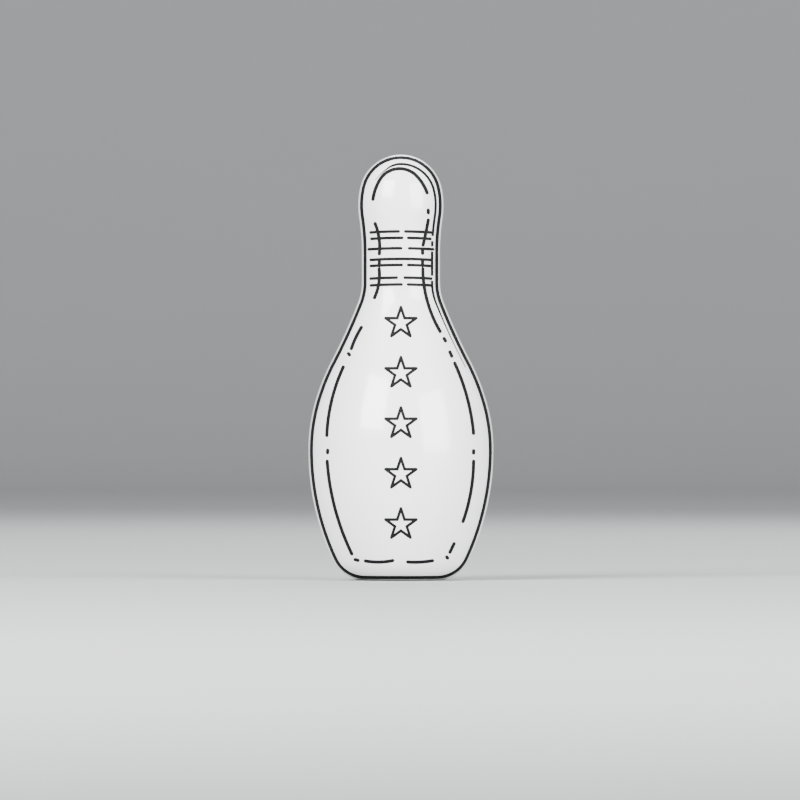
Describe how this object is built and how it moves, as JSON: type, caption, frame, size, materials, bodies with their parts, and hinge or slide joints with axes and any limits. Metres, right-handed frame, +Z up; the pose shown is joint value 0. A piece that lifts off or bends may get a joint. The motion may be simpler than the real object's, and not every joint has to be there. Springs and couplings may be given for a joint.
{
  "type": "bowling pin",
  "caption": "Bowling pin with a laminated wooden core, a white plastic coat, a base plate and printed stars, neck stripes and contour lines; stands on its flat foot.",
  "frame": {"origin": "middle of the flat foot that the pin stands on", "axes": "+Z up along the pin's axis of turning; the front face with its upright stars looks towards -Y; +X is to the right seen from the front"},
  "size_m": [0.1658, 0.166, 0.381],
  "materials": {
    "coat": "glossy white moulded coat",
    "base": "satin off-white nylon",
    "core_boards": "turned maple, bare",
    "belly_boards": "turned maple, bare",
    "outline_print": "black print film",
    "contour_print": "black print film",
    "stripe_print": "black print film",
    "star_print": "black print film"
  },
  "bodies": {
    "root": {"back_belly_board_inner": "belly_boards", "back_belly_board_outer": "belly_boards", "back_brow_arc": "contour_print", "back_contour_dashes": "contour_print", "back_neck_stripe_1": "stripe_print", "back_neck_stripe_2": "stripe_print", "back_neck_stripe_3": "stripe_print", "back_neck_stripe_4": "stripe_print", "back_neck_stripe_5": "stripe_print", "back_neck_stripe_6": "stripe_print", "back_neck_stripe_7": "stripe_print", "back_outline": "outline_print", "back_shading_line": "contour_print", "back_star_1": "star_print", "back_star_2": "star_print", "back_star_3": "star_print", "back_star_4": "star_print", "back_star_5": "star_print", "base_plate": "base", "core_centre_board": "core_boards", "core_left_board": "core_boards", "core_right_board": "core_boards", "front_belly_board_inner": "belly_boards", "front_belly_board_outer": "belly_boards", "front_brow_arc": "contour_print", "front_contour_dashes": "contour_print", "front_neck_stripe_1": "stripe_print", "front_neck_stripe_2": "stripe_print", "front_neck_stripe_3": "stripe_print", "front_neck_stripe_4": "stripe_print", "front_neck_stripe_5": "stripe_print", "front_neck_stripe_6": "stripe_print", "front_neck_stripe_7": "stripe_print", "front_outline": "outline_print", "front_shading_line": "contour_print", "front_star_1": "star_print", "front_star_2": "star_print", "front_star_3": "star_print", "front_star_4": "star_print", "front_star_5": "star_print", "left_belly_board_inner": "belly_boards", "left_belly_board_outer": "belly_boards", "plastic_coat": "coat", "right_belly_board_inner": "belly_boards", "right_belly_board_outer": "belly_boards"}
  },
  "joints": []
}
